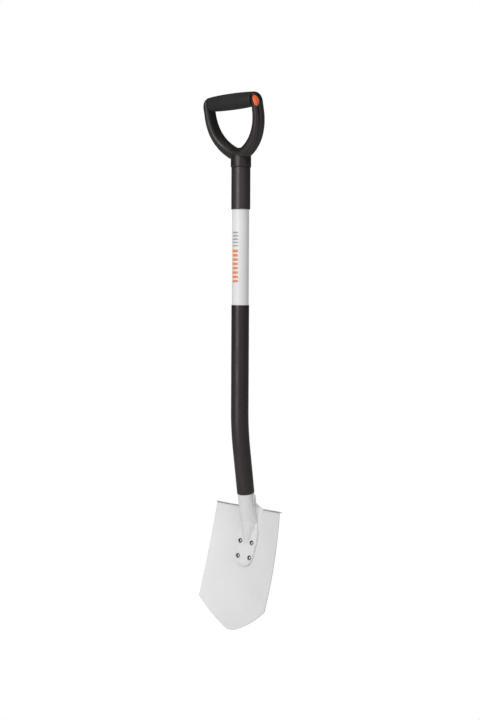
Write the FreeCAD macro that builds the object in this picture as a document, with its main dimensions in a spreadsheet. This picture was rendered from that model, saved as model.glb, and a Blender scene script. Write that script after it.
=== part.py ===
import FreeCAD, Part
import math
import os
import Sketcher

# Pointed garden spade: a dished steel blade riveted to a cranked aluminium shaft, with a
# thin sleeve on the lower shaft and a moulded D grip at the top.
# Millimetres, +Z up. The origin is on the shaft's axis, half way along the straight part
# of the lower sleeve, where a rack clip holds the spade. The blade's hollow front faces -Y.

Vector = FreeCAD.Vector
Rotation = FreeCAD.Rotation
Placement = FreeCAD.Placement
X_AXIS = Vector(1, 0, 0)
Z_AXIS = Vector(0, 0, 1)

SIZES = [
    # shaft tube
    ("tube_radius", 16.5, "outside radius of the shaft tube"),
    ("tube_wall", 1.5, "wall of the shaft tube"),
    ("grip_part", 211.0, "straight part of the lower sleeve"),
    ("bare_part", 186.7, "white part of the tube between the sleeve and the neck bush"),
    ("bend_radius", 470.0, "radius of the crank in the shaft"),
    ("bend_angle", 8.8, "angle of the crank in the shaft"),
    ("tube_tail", 131.5, "round tube below the crank"),
    # lower sleeve
    ("sleeve_wall", 0.9, "wall of the lower sleeve"),
    ("sleeve_gap", 0.1, "clearance of sleeve and bush on the tube"),
    ("sleeve_tail", 95.0, "sleeve below the crank"),
    ("sleeve_round", 0.6, "rounding of the sleeve's ends"),
    # flattened end of the tube
    ("flare_end", 62.0, "from the tread edge down to where the tube is flat"),
    ("tongue_half", 26.0, "half the width of the flat tongue"),
    ("tongue_end", 118.0, "from the tread edge down to the tongue's end"),
    ("tongue_round", 22.0, "corner radius of the tongue's end"),
    ("tongue_thick", 4.4, "thickness of the flat tongue, both walls together"),
    # blade
    ("blade_length", 244.4, "from the tread edge to the tip"),
    ("blade_side", 195.7, "from the tread edge to the shoulders"),
    ("tread_half", 80.8, "half the blade's width at the tread edge"),
    ("shoulder_half", 85.2, "half the blade's width at the shoulders"),
    ("side_bulge", 2.2, "how far the sides bow out"),
    ("point_bulge", 5.0, "how far the edges of the point bow out"),
    ("tip_round", 30.0, "radius of the tip"),
    ("shoulder_round", 7.0, "radius of the shoulders"),
    ("blade_tilt", 16.5, "lean of the blade, tip forwards"),
    ("dish_depth", 14.3, "hollow of the blade across its width"),
    ("bow_depth", 8.1, "hollow of the blade along its length"),
    ("sheet", 2.0, "thickness of the blade's sheet"),
    ("lip_depth", 9.0, "depth of the folded tread edge"),
    ("lip_height", 2.2, "height of the folded tread edge"),
    ("groove_depth", 3.6, "how far the tube sinks past the blade's front face line"),
    ("tread_rise", 7.8, "tread edge above the end of the round tube"),
    ("neck_gap", 0.3, "clearance between the tube and the blade's neck"),
    ("neck_rise", 29.0, "height of the blade's neck above the round tube's end"),
    # rivets
    ("rivet_half", 14.9, "half the spacing of the rivets across the blade"),
    ("rivet_top", 70.4, "upper rivets below the tread edge"),
    ("rivet_pitch", 30.2, "spacing of the rivets along the blade"),
    ("rivet_hole", 2.5, "radius of the rivet holes"),
    ("rivet_gap", 0.05, "clearance of the rivets in their holes"),
    ("rivet_seat", 0.1, "clearance under the rivets' heads and tails"),
    ("rivet_head", 5.0, "radius of the domed rivet heads"),
    ("rivet_dome", 2.8, "height of the domed rivet heads"),
    ("rivet_tail", 4.2, "radius of the closed rivet tails"),
    ("rivet_close", 1.8, "height of the closed rivet tails"),
    # neck bush, plug and screw
    ("bush_length", 82.0, "neck bush under the grip"),
    ("bush_wall", 2.0, "wall of the neck bush"),
    ("bush_radius", "=tube_radius + sleeve_gap + bush_wall", "outside radius of the neck bush"),
    ("bush_round", 0.8, "rounding of the bush's lower end"),
    ("plug_length", 70.0, "stiffening plug in the top of the tube"),
    ("plug_gap", 0.1, "clearance of the plug in the tube"),
    ("screw_rise", 10.3, "grip screw above the collar's lower end"),
    ("screw_radius", 2.1, "radius of the grip screw"),
    ("screw_head", 4.2, "radius of the grip screw's head"),
    ("screw_sink", 3.2, "depth of the counterbore for the screw's head"),
    ("screw_gap", 0.1, "clearance around the screw"),
    ("screw_reach", 24.0, "length of the screw under its head"),
    # D grip
    ("collar_wall", 1.3, "how far the collar stands out past the neck bush"),
    ("collar_radius", "=bush_radius + collar_wall", "outside radius of the grip's collar"),
    ("collar_height", 22.3, "height of the grip's collar"),
    ("socket_depth", 17.8, "how far the tube goes into the grip"),
    ("grip_tilt", 12.6, "forward lean of the D"),
    ("grip_reach", 115.5, "from the D's root to the bar's axis"),
    ("grip_half", 60.0, "half the D's width, to the middle of a leg"),
    ("root_thick", 11.4, "half the leg's thickness at its root"),
    ("root_deep", 16.2, "half the leg's depth at its root"),
    ("leg_thick", 7.9, "half the leg's thickness under the bar"),
    ("leg_deep", 13.6, "half the leg's depth under the bar"),
    ("core_radius", 9.0, "radius of the bar's core"),
    ("bar_end", 13.5, "radius of the soft bar cover at its ends"),
    ("bar_middle", 15.7, "radius of the soft bar cover in the middle"),
    ("cover_half", 52.4, "half the length of the soft bar cover"),
    ("cover_gap", 0.1, "clearance of the cover on the core"),
    # corner inlays
    ("inlay_long", 10.5, "half the inlay's length"),
    ("inlay_wide", 8.5, "half the inlay's width"),
    ("inlay_depth", 3.5, "depth of the inlay's pocket"),
    # printed film on the tube
    ("label_film", 0.15, "thickness of the printed film"),
    ("label_angle", 56.0, "part of the tube's round that the film covers"),
    ("label_length", 118.0, "length of the film"),
    ("label_rise", 42.0, "film above the sleeve's upper end"),
]

doc = FreeCAD.newDocument("spade")
sheet = doc.addObject("Spreadsheet::Sheet", "sizes")
for row, (alias, value, meaning) in enumerate(SIZES, start=1):
    sheet.set("A%d" % row, meaning)
    sheet.set("B%d" % row, str(value))
    sheet.setAlias("B%d" % row, alias)
doc.recompute()


def size(alias):
    return float(sheet.get(alias))


# --- places worked out from the sizes ---------------------------------------------------

bend = math.radians(size("bend_angle"))
sleeve_top = size("grip_part") / 2
bend_top = -size("grip_part") / 2
bush_bottom = sleeve_top + size("bare_part")
collar_bottom = bush_bottom + size("bush_length")
tube_top = collar_bottom + size("socket_depth")
screw_height = collar_bottom + size("screw_rise")
sleeve_bore = size("tube_radius") + size("sleeve_gap")


def tail_point(distance):
    """The point on the shaft's axis this far below the crank."""
    back = size("bend_radius") * (1 - math.cos(bend)) + distance * math.sin(bend)
    drop = size("bend_radius") * math.sin(bend) + distance * math.cos(bend)
    return Vector(0, back, bend_top - drop)


tail_turn = Rotation(X_AXIS, size("bend_angle"))
tube_end = tail_point(size("tube_tail"))

# The blade's own frame: its origin is the middle of the tread edge's front, its Y points
# out of the back of the blade and its Z points up along the blade.
blade_turn = Rotation(X_AXIS, -size("blade_tilt"))
blade_back = blade_turn.multVec(Vector(0, 1, 0))
blade_up = blade_turn.multVec(Z_AXIS)
blade_origin = (
    tube_end
    + blade_back * (size("tube_radius") - size("groove_depth"))
    + blade_up * size("tread_rise")
)
blade_frame = Placement(blade_origin, blade_turn)

# The D's own frame: its origin is on the shaft's axis, Y is its depth and Z points from
# its root to the bar.
grip_turn = Rotation(X_AXIS, size("grip_tilt"))
grip_frame_place = Placement(Vector(0, 0, screw_height), grip_turn)


# --- small helpers ----------------------------------------------------------------------


def plane_of(body, role):
    return [f for f in body.Origin.OriginFeatures if f.Role == role][0]


def add_sketch(body, name, role):
    sketch = body.newObject("Sketcher::SketchObject", name)
    sketch.AttachmentSupport = [(plane_of(body, role), "")]
    sketch.MapMode = "FlatFace"
    return sketch


def bind(sketch, kind, where, alias):
    """Add one dimension and tie it to a cell of the sheet."""
    index = sketch.addConstraint(Sketcher.Constraint(kind, *where, size(alias)))
    sketch.setExpression("Constraints[%d]" % index, "sizes." + alias)


def add_line(sketch, start, end):
    return sketch.addGeometry(Part.LineSegment(Vector(*start, 0), Vector(*end, 0)))


def add_arc(sketch, start, middle, end):
    arc = Part.Arc(Vector(*start, 0), Vector(*middle, 0), Vector(*end, 0))
    return sketch.addGeometry(arc)


def add_loop(sketch, points):
    """Straight edges through the points, closed and joined end to end."""
    count = len(points)
    edges = [add_line(sketch, points[i], points[(i + 1) % count]) for i in range(count)]
    for i in range(count):
        following = edges[(i + 1) % count]
        sketch.addConstraint(Sketcher.Constraint("Coincident", edges[i], 2, following, 1))
    return edges


def add_box(sketch, low, high):
    """A rectangle with its sides held level and upright."""
    corners = [low, (high[0], low[1]), high, (low[0], high[1])]
    edges = add_loop(sketch, corners)
    for i, edge in enumerate(edges):
        kind = "Horizontal" if i % 2 == 0 else "Vertical"
        sketch.addConstraint(Sketcher.Constraint(kind, edge))
    return edges


def add_circle(name, radius_rule, place):
    circle = doc.addObject("Part::Circle", name)
    circle.setExpression("Radius", radius_rule)
    circle.Placement = place
    return circle


def add_ellipse(name, major_rule, minor_rule, place):
    ellipse = doc.addObject("Part::Ellipse", name)
    ellipse.setExpression("MajorRadius", major_rule)
    ellipse.setExpression("MinorRadius", minor_rule)
    ellipse.Placement = place
    return ellipse


def add_cylinder(name, radius_rule, height_rule, place):
    cylinder = doc.addObject("Part::Cylinder", name)
    cylinder.setExpression("Radius", radius_rule)
    cylinder.setExpression("Height", height_rule)
    cylinder.Placement = place
    return cylinder


def loft(name, sections):
    result = doc.addObject("Part::Loft", name)
    result.Sections = sections
    result.Solid = True
    result.Ruled = False
    return result


def extrude(name, base, direction, forward, backward=None):
    result = doc.addObject("Part::Extrusion", name)
    result.Base = base
    result.DirMode = "Custom"
    result.Dir = direction
    result.Solid = True
    result.setExpression("LengthFwd", forward)
    if backward:
        result.setExpression("LengthRev", backward)
    return result


def fuse(name, shapes):
    result = doc.addObject("Part::MultiFuse", name)
    result.Shapes = shapes
    return result


def cut(name, base, tool):
    result = doc.addObject("Part::Cut", name)
    result.Base = base
    result.Tool = tool
    return result


def common(name, first, second):
    result = doc.addObject("Part::MultiCommon", name)
    result.Shapes = [first, second]
    return result


def follow_shaft(body, name, top, tail, role="YZ_Plane"):
    """A path down the shaft's axis: straight, the crank, and straight again."""
    path = add_sketch(body, name, role)
    radius = size("bend_radius")
    start = tail_point(0)
    end = tail_point(tail)
    middle_y = radius * (1 - math.cos(bend / 2))
    middle_z = bend_top - radius * math.sin(bend / 2)
    upper = add_line(path, (0, top), (0, bend_top))
    crank = add_arc(path, (0, bend_top), (middle_y, middle_z), (start.y, start.z))
    lower = add_line(path, (start.y, start.z), (end.y, end.z))
    # the arc runs anticlockwise in the sketch, from its lower end on a left-hand bend
    near, far = arc_ends(path, crank, (0, bend_top))
    path.addConstraint(Sketcher.Constraint("Vertical", upper))
    path.addConstraint(Sketcher.Constraint("PointOnObject", upper, 1, -2))
    path.addConstraint(Sketcher.Constraint("Tangent", upper, 2, crank, near))
    path.addConstraint(Sketcher.Constraint("Tangent", crank, far, lower, 1))
    bind(path, "Radius", (crank,), "bend_radius")
    return path


def arc_ends(sketch, arc, start):
    """The vertex numbers of an arc's end at start, and of its other end."""
    geometry = sketch.Geometry[arc]
    first = geometry.StartPoint
    at_first = math.hypot(first.x - start[0], first.y - start[1]) < 1e-6
    return (1, 2) if at_first else (2, 1)


def pipe_down_shaft(name, inner, outer, top, tail):
    """A round tube that follows the shaft's axis."""
    body = doc.addObject("PartDesign::Body", name + "_body")
    path = follow_shaft(body, name + "_path", top, tail)
    ring = add_sketch(body, name + "_ring", "XY_Plane")
    ring.AttachmentOffset = Placement(Vector(0, 0, top), Rotation())
    for radius, rule in ((outer[0], outer[1]), (inner[0], inner[1])):
        circle = ring.addGeometry(Part.Circle(Vector(0, 0, 0), Z_AXIS, radius))
        ring.addConstraint(Sketcher.Constraint("Coincident", circle, 3, -1, 1))
        index = ring.addConstraint(Sketcher.Constraint("Radius", circle, radius))
        ring.setExpression("Constraints[%d]" % index, rule)
    doc.recompute()
    pipe = body.newObject("PartDesign::AdditivePipe", name + "_pipe")
    pipe.Profile = ring
    pipe.Spine = path
    doc.recompute()
    return body


def turned(name, outline):
    """A piece turned about the shaft's axis from a half section of (radius, height)."""
    body = doc.addObject("PartDesign::Body", name + "_body")
    section = add_sketch(body, name + "_section", "XZ_Plane")
    outline(section)
    doc.recompute()
    turn = body.newObject("PartDesign::Revolution", name + "_turn")
    turn.Profile = section
    turn.ReferenceAxis = (section, ["V_Axis"])
    turn.Angle = 360
    doc.recompute()
    return body


# --- the blade's surface ----------------------------------------------------------------


def bow_at(down):
    """How far back the blade's middle line lies, this far below the tread edge."""
    share = down / size("blade_length")
    return 4 * size("bow_depth") * share * (1 - share)


def front_at(across, down):
    """The blade's front surface in its own frame: a parabola each way."""
    dish = size("dish_depth") * (across / size("tread_half")) ** 2
    return Vector(across, bow_at(down) - dish, -down)


def make_blade_face():
    """The whole front surface as one quadratic patch, a little larger than the blade."""
    half = size("shoulder_half") + size("side_bulge") + 10
    bottom = size("blade_length") + 10
    edge_y = front_at(half, 0).y
    patch = Part.BezierSurface()
    patch.increase(2, 2)
    # a quadratic's middle pole lies where the tangents at its two ends meet
    down_slope = 4 * size("bow_depth") / size("blade_length")
    depths = (0.0, down_slope * bottom / 2, bow_at(bottom))
    dishes = (edge_y, -edge_y, edge_y)
    for i, across in enumerate((-half, 0.0, half)):
        for j, down in enumerate((0.0, bottom / 2, bottom)):
            patch.setPole(i + 1, j + 1, Vector(across, depths[j] + dishes[i], -down))
    face = doc.addObject("Part::Feature", "blade_face")
    face.Shape = patch.toShape()
    face.Placement = blade_frame
    return face


def blade_plane_sketch(name):
    """A sketch in the blade's frame: X across the blade, Y up along it."""
    sketch = doc.addObject("Sketcher::SketchObject", name)
    upright = Rotation(X_AXIS, 90)
    sketch.Placement = blade_frame.multiply(Placement(Vector(0, 0, 0), upright))
    return sketch


def make_blade_outline():
    """Straight tread edge, bowed sides, and a point with bowed edges."""
    outline = blade_plane_sketch("blade_outline")
    tread = size("tread_half")
    shoulder = size("shoulder_half")
    side = size("blade_side")
    slope = (size("blade_length") - side) / shoulder
    # the edges of the point meet below the rounded tip
    sharp = size("blade_length") + size("tip_round") * (math.hypot(1, slope) - 1)
    middle = (tread + shoulder) / 2 + size("side_bulge")
    edge = Vector(shoulder, -(sharp - side), 0).normalize()
    bow_x = shoulder / 2 - edge.y * size("point_bulge")
    bow_y = -(side + sharp) / 2 - edge.x * size("point_bulge")
    left_top, right_top = (-tread, 0), (tread, 0)
    left_low, right_low = (-shoulder, -side), (shoulder, -side)
    tip = (0, -sharp)
    top = add_line(outline, left_top, right_top)
    add_arc(outline, right_top, (middle, -side / 2), right_low)
    add_arc(outline, right_low, (bow_x, bow_y), tip)
    add_arc(outline, tip, (-bow_x, bow_y), left_low)
    add_arc(outline, left_low, (-middle, -side / 2), left_top)
    outline.addConstraint(Sketcher.Constraint("Horizontal", top))
    return outline


def round_corners(name, solid, corners, radius):
    """Round the long edges of a prism that pass through the given corner points."""
    doc.recompute()
    rounded = doc.addObject("Part::Fillet", name)
    rounded.Base = solid
    picked = []
    for number, edge in enumerate(solid.Shape.Edges, start=1):
        ends = [vertex.Point for vertex in edge.Vertexes]
        if len(ends) < 2 or edge.Length < 10:
            continue
        along = (ends[1] - ends[0]).normalize()
        if abs(abs(along * blade_back) - 1) > 1e-6:
            continue
        for corner in corners:
            if edge.distToShape(Part.Vertex(corner))[0] < 1e-3:
                picked.append((number, radius, radius))
    rounded.Edges = picked
    return rounded


def make_rivet_holes():
    """One straight pin for each rivet hole, square to the blade's surface there."""
    pins = []
    for name, place in rivet_places():
        start = place.multiply(Placement(Vector(0, 0, -20), Rotation()))
        pins.append(add_cylinder("hole_" + name, "sizes.rivet_hole", "40", start))
    return fuse("rivet_holes", pins)


def rivet_places():
    """A frame for each rivet: its Z points out of the blade's front."""
    places = []
    for row, level in (("upper", 0), ("lower", 1)):
        down = size("rivet_top") + level * size("rivet_pitch")
        for side, sign in (("left", -1), ("right", 1)):
            across = sign * size("rivet_half")
            seat = front_at(across, down)
            lean = 2 * size("dish_depth") * across / size("tread_half") ** 2
            share = down / size("blade_length")
            rise = 4 * size("bow_depth") / size("blade_length") * (1 - 2 * share)
            outward = Vector(-lean, -1, -rise).normalize()
            turn = Rotation(Z_AXIS, outward)
            places.append((row + "_" + side, blade_frame.multiply(Placement(seat, turn))))
    return places


# --- the shaft and its flattened end ----------------------------------------------------


def flare(name, extra, rise, flat_extra):
    """The tube's change from round to flat, made larger by extra all round."""
    down = size("flare_end")
    seat = bow_at(down) - size("tongue_thick") / 2 - 2 * size("neck_gap")
    flat_place = blade_frame.multiply(Placement(Vector(0, seat, -down), Rotation()))
    round_place = Placement(tube_end, tail_turn)
    radius = "sizes.tube_radius + %s" % extra
    top = add_circle(name + "_round", radius, round_place)
    flat = add_ellipse(
        name + "_flat",
        "sizes.tongue_half + %s" % flat_extra,
        "sizes.tongue_thick / 2 + %s" % flat_extra,
        flat_place,
    )
    taper = loft(name + "_taper", [top, flat])
    if not rise:
        return taper
    stem = add_cylinder(name + "_stem", radius, rise, round_place)
    return fuse(name, [stem, taper])


def make_tongue(face):
    """The flat tongue follows the blade's surface and ends in a rounded U."""
    outline = blade_plane_sketch("tongue_outline")
    half = size("tongue_half")
    top = -(size("flare_end") - 4)
    bottom = -size("tongue_end")
    corner = size("tongue_round")
    off = corner * (1 - math.sqrt(0.5))
    start = (half, top)
    add_line(outline, (-half, top), start)
    add_line(outline, start, (half, bottom + corner))
    middle = (half - off, bottom + off)
    add_arc(outline, (half, bottom + corner), middle, (half - corner, bottom))
    add_line(outline, (half - corner, bottom), (-half + corner, bottom))
    middle = (-half + off, bottom + off)
    add_arc(outline, (-half + corner, bottom), middle, (-half, bottom + corner))
    add_line(outline, (-half, bottom + corner), (-half, top))
    prism = extrude("tongue_prism", outline, blade_back, "40", "40")
    slab = extrude("tongue_slab", face, blade_back * -1, "sizes.tongue_thick")
    return common("tongue", slab, prism)


def make_shaft_tube(tongue, holes, screw_hole):
    """Aluminium tube: round, cranked, then pressed flat into the tongue."""
    radius = size("tube_radius")
    bore = radius - size("tube_wall")
    pipe = pipe_down_shaft(
        "tube",
        (bore, "sizes.tube_radius - sizes.tube_wall"),
        (radius, "sizes.tube_radius"),
        tube_top,
        size("tube_tail"),
    )
    outside = flare("flare_outside", "0", None, "0")
    inner_flat = bow_at(size("flare_end")) - size("tongue_thick") / 2 - 2 * size("neck_gap")
    flat_place = Placement(Vector(0, inner_flat, -size("flare_end") + 3), Rotation())
    inside = loft(
        "flare_inside",
        [
            add_circle(
                "flare_inside_round",
                "sizes.tube_radius - sizes.tube_wall",
                Placement(tube_end, tail_turn),
            ),
            add_ellipse(
                "flare_inside_flat",
                "sizes.tongue_half - sizes.tube_wall",
                "sizes.tongue_thick / 2 - sizes.tube_wall",
                blade_frame.multiply(flat_place),
            ),
        ],
    )
    solid = fuse("tube_solid", [pipe, outside, tongue])
    hollow = cut("tube_hollow", solid, inside)
    drilled = cut("tube_drilled", hollow, holes)
    return cut("shaft_tube", drilled, screw_hole)


def make_lower_sleeve():
    """Thin plastic sleeve on the lower shaft, from the bare part to above the blade."""
    body = pipe_down_shaft(
        "sleeve",
        (sleeve_bore, "sizes.tube_radius + sizes.sleeve_gap"),
        (
            sleeve_bore + size("sleeve_wall"),
            "sizes.tube_radius + sizes.sleeve_gap + sizes.sleeve_wall",
        ),
        sleeve_top,
        size("sleeve_tail"),
    )
    outer = sleeve_bore + size("sleeve_wall")
    rims = []
    for number, edge in enumerate(body.Shape.Edges, start=1):
        is_ring = isinstance(edge.Curve, Part.Circle) and edge.isClosed()
        end_z = (sleeve_top, tail_point(size("sleeve_tail")).z)
        if is_ring and abs(edge.Curve.Radius - outer) < 1e-6:
            if min(abs(edge.Curve.Center.z - z) for z in end_z) < 1e-3:
                rims.append("Edge%d" % number)
    pipe = body.Tip
    rounding = body.newObject("PartDesign::Fillet", "sleeve_ends")
    rounding.Base = (pipe, rims)
    rounding.setExpression("Radius", "sizes.sleeve_round")
    doc.recompute()
    return body


# --- the blade --------------------------------------------------------------------------


def make_blade(blank, face, tube_space, holes):
    """Dished sheet with a folded tread edge and a half-round neck behind the tube."""
    prism = extrude("blade_prism", make_blade_outline(), blade_back, "60", "60")
    slope = (size("blade_length") - size("blade_side")) / size("shoulder_half")
    sharp = size("blade_length") + size("tip_round") * (math.hypot(1, slope) - 1)
    tip = blade_frame.multVec(Vector(0, 0, -sharp))
    pointed = round_corners("blade_tip", prism, [tip], size("tip_round"))
    shoulders = [
        blade_frame.multVec(Vector(sign * size("shoulder_half"), 0, -size("blade_side")))
        for sign in (-1, 1)
    ]
    rounded = round_corners(
        "blade_shoulders", pointed, shoulders, size("shoulder_round")
    )
    sheet_part = common("blade_sheet", blank, rounded)
    fold = extrude("tread_fold", face, blade_back, "sizes.lip_depth", "-sizes.sheet / 2")
    band = doc.addObject("Part::Box", "tread_band")
    band.setExpression("Length", "2 * sizes.tread_half - 2")
    band.setExpression("Height", "sizes.lip_height")
    band.Width = 80
    corner = Vector(1 - size("tread_half"), -40, -size("lip_height"))
    band.Placement = blade_frame.multiply(Placement(corner, Rotation()))
    lip = common("tread_lip", fold, band)
    wrap = flare(
        "neck_wrap",
        "sizes.neck_gap + sizes.sheet",
        "sizes.neck_rise",
        "sizes.neck_gap + sizes.sheet / 2",
    )
    behind = doc.addObject("Part::Box", "neck_half")
    behind.Length = 100
    behind.Width = 60
    behind.Height = 160
    half_turn = Placement(Vector(-50, 0, -120), Rotation())
    behind.Placement = Placement(tube_end, tail_turn).multiply(half_turn)
    neck = common("blade_neck", wrap, behind)
    plate = fuse("blade_plate", [sheet_part, lip, neck])
    swaged = cut("blade_swaged", plate, tube_space)
    return cut("blade", swaged, holes)


def rivet_outline(section):
    """Domed head, shank and closed tail, as a half section of (radius, height)."""
    shank = size("rivet_hole") - size("rivet_gap")
    seat = size("tongue_thick") + size("rivet_seat")
    top = seat + size("rivet_dome")
    under = -size("sheet") - size("rivet_seat")
    low = under - size("rivet_close")
    head = size("rivet_head")
    tail = size("rivet_tail")
    dome = size("rivet_dome")
    radius = (head**2 + dome**2) / (2 * dome)
    ball = Part.Circle(Vector(0, top - radius, 0), Z_AXIS, radius)
    edge_angle = math.acos(head / radius)
    section.addGeometry(Part.ArcOfCircle(ball, edge_angle, math.pi / 2))
    add_line(section, (0, top), (0, low))
    add_line(section, (0, low), (tail - 0.9, low))
    add_arc(section, (tail - 0.9, low), (tail - 0.25, low + 0.3), (tail, low + 0.9))
    add_line(section, (tail, low + 0.9), (tail, under))
    add_line(section, (tail, under), (shank, under))
    add_line(section, (shank, under), (shank, seat))
    add_line(section, (shank, seat), (head, seat))


def make_rivets():
    """Four rivets through tongue and blade, heads on the front of the tongue."""
    rivets = []
    for name, place in rivet_places():
        body = doc.addObject("PartDesign::Body", "rivet_" + name + "_body")
        section = add_sketch(body, "rivet_" + name + "_section", "XZ_Plane")
        rivet_outline(section)
        doc.recompute()
        turn = body.newObject("PartDesign::Revolution", "rivet_" + name + "_turn")
        turn.Profile = section
        turn.ReferenceAxis = (section, ["V_Axis"])
        turn.Angle = 360
        body.Placement = place
        rivets.append(body)
    return fuse("blade_rivets", rivets)


# --- grip end of the shaft --------------------------------------------------------------


def bush_outline(section):
    inner, outer = sleeve_bore, size("bush_radius")
    edges = add_box(section, (inner, bush_bottom), (outer, collar_bottom))
    bind(section, "DistanceY", (edges[1], 1, edges[1], 2), "bush_length")
    bind(section, "DistanceX", (-1, 1, edges[1], 1), "bush_radius")


def plug_outline(section):
    radius = size("tube_radius") - size("tube_wall") - size("plug_gap")
    top = tube_top - 1
    edges = add_box(section, (0, top - size("plug_length")), (radius, top))
    bind(section, "DistanceY", (edges[1], 1, edges[1], 2), "plug_length")


def make_neck_bush():
    """Moulded bush on the tube, which the grip's collar sits on."""
    body = turned("bush", bush_outline)
    outer = size("bush_radius")
    rims = []
    for number, edge in enumerate(body.Shape.Edges, start=1):
        if isinstance(edge.Curve, Part.Circle) and abs(edge.Curve.Radius - outer) < 1e-6:
            if abs(edge.Curve.Center.z - bush_bottom) < 1e-3:
                rims.append("Edge%d" % number)
    turn = body.Tip
    rounding = body.newObject("PartDesign::Fillet", "bush_rim")
    rounding.Base = (turn, rims)
    rounding.setExpression("Radius", "sizes.bush_round")
    doc.recompute()
    return body


def screw_place(depth):
    """On the screw's axis, this far from the shaft's axis, pointing out of the back."""
    return Placement(Vector(0, depth, screw_height), Rotation(X_AXIS, -90))


def make_grip_screw():
    """Pan-head screw from the back, through collar and tube into the plug."""
    seat = size("collar_radius") - size("screw_sink")
    shank = add_cylinder(
        "screw_shank",
        "sizes.screw_radius",
        "sizes.screw_reach",
        screw_place(seat - size("screw_reach")),
    )
    head = add_cylinder("screw_head", "sizes.screw_head", "2.4", screw_place(seat))
    slot = doc.addObject("Part::Box", "screw_slot")
    slot.Length = 6
    slot.Width = 1.1
    slot.Height = 2
    slot_corner = Placement(Vector(-3, -0.55, 1.2), Rotation())
    slot.Placement = screw_place(seat).multiply(slot_corner)
    return cut("grip_screw", fuse("screw_blank", [shank, head]), slot)


def make_screw_hole():
    """Clearance hole and counterbore for the grip screw."""
    seat = size("collar_radius") - size("screw_sink")
    hole = add_cylinder(
        "screw_clearance",
        "sizes.screw_radius + sizes.screw_gap",
        "sizes.screw_reach + 2",
        screw_place(seat - size("screw_reach") - 1),
    )
    well = add_cylinder(
        "screw_well",
        "sizes.screw_head + 4 * sizes.screw_gap",
        "20",
        screw_place(seat),
    )
    return fuse("screw_hole", [hole, well])


# --- D grip -----------------------------------------------------------------------------


def leg_path(share):
    """Middle line of the right leg in the D's frame: root at 0, under the bar at 1."""
    half = size("grip_half")
    reach = size("grip_reach")
    poles = [
        (0.075 * half, 0.113 * reach),
        (0.65 * half, 0.24 * reach),
        (0.978 * half, 0.48 * reach),
        (half, 0.802 * reach),
    ]
    rest = 1 - share
    weights = (rest**3, 3 * share * rest**2, 3 * share**2 * rest, share**3)
    across = sum(w * p[0] for w, p in zip(weights, poles))
    along = sum(w * p[1] for w, p in zip(weights, poles))
    steps = [(poles[i + 1][0] - poles[i][0], poles[i + 1][1] - poles[i][1]) for i in range(3)]
    slopes = (rest**2, 2 * share * rest, share**2)
    turn_x = sum(w * s[0] for w, s in zip(slopes, steps))
    turn_z = sum(w * s[1] for w, s in zip(slopes, steps))
    return Vector(across, 0, along), Vector(turn_x, 0, turn_z).normalize()


def leg_section(name, centre, heading, deep_rule, thick_rule):
    """An oval across the leg, its long way through the D's depth."""
    depth = Vector(0, 1, 0)
    turn = Rotation(depth, heading.cross(depth), heading, "ZXY")
    place = grip_frame_place.multiply(Placement(centre, turn))
    return add_ellipse(name, deep_rule, thick_rule, place)


def make_grip_loop():
    """Both legs in one sweep: from the bar's left end round the root to its right end."""
    reach = size("grip_reach")
    root_rule = ("sizes.root_deep", "sizes.root_thick * 1.2")
    stations = [(Vector(0, 0, 0.125 * reach), X_AXIS, root_rule)]
    for step in range(1, 6):
        share = step / 5
        centre, heading = leg_path(share)
        deep = "sizes.root_deep + (sizes.leg_deep - sizes.root_deep) * %.2f" % share
        thick = "sizes.root_thick + (sizes.leg_thick - sizes.root_thick) * %.2f" % share
        stations.append((centre, heading, (deep, thick)))
    corner = Vector(size("grip_half") - 2.4, 0, reach - 4.5)
    corner_rule = ("sizes.leg_deep", "sizes.leg_thick + 3.3")
    stations.append((corner, Vector(-0.85, 0, 0.53).normalize(), corner_rule))
    bar_rule = ("sizes.bar_end", "sizes.bar_end")
    stations.append((Vector(size("cover_half"), 0, reach), X_AXIS * -1, bar_rule))
    sections = []
    for number, (centre, heading, rules) in reversed(list(enumerate(stations))[1:]):
        centre = Vector(-centre.x, 0, centre.z)
        heading = Vector(heading.x, 0, -heading.z)
        sections.append(leg_section("leg_left_%d" % number, centre, heading, *rules))
    for number, (centre, heading, rules) in enumerate(stations):
        sections.append(leg_section("leg_right_%d" % number, centre, heading, *rules))
    return loft("grip_loop", sections)


def make_grip_blank():
    """The D as moulded, before its socket and pockets: legs, bar core and collar."""
    loop = make_grip_loop()
    along_x = Rotation(Vector(0, 1, 0), 90)
    core_start = Vector(-size("cover_half"), 0, size("grip_reach"))
    core = add_cylinder(
        "bar_core",
        "sizes.core_radius",
        "2 * sizes.cover_half",
        grip_frame_place.multiply(Placement(core_start, along_x)),
    )
    collar = add_cylinder(
        "collar",
        "sizes.collar_radius",
        "sizes.collar_height",
        Placement(Vector(0, 0, collar_bottom), Rotation()),
    )
    shoulder = doc.addObject("Part::Cone", "collar_shoulder")
    shoulder.setExpression("Radius1", "sizes.collar_radius")
    shoulder.setExpression("Radius2", "sizes.collar_radius - 7")
    shoulder.Height = 5
    top = collar_bottom + size("collar_height")
    shoulder.Placement = Placement(Vector(0, 0, top), Rotation())
    return fuse("grip_blank", [loop, core, collar, shoulder])


def make_inlay_tool(name, sign):
    """Oval prism that points out of the D's upper corner, in line with the bar."""
    lean = Vector(sign, 0, 0.3).normalize()
    upward = Vector(-0.3 * sign, 0, 1).normalize()
    surface = size("grip_half") + size("leg_thick") - 2.5
    corner = Vector(sign * surface, 0, size("grip_reach") - 3)
    turn = Rotation(upward, lean.cross(upward), lean, "ZXY")
    start = corner - lean * size("inlay_depth")
    place = grip_frame_place.multiply(Placement(start, turn))
    oval = add_ellipse(name + "_oval", "sizes.inlay_long", "sizes.inlay_wide", place)
    return extrude(name + "_prism", oval, grip_turn.multVec(lean), "20")


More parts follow.
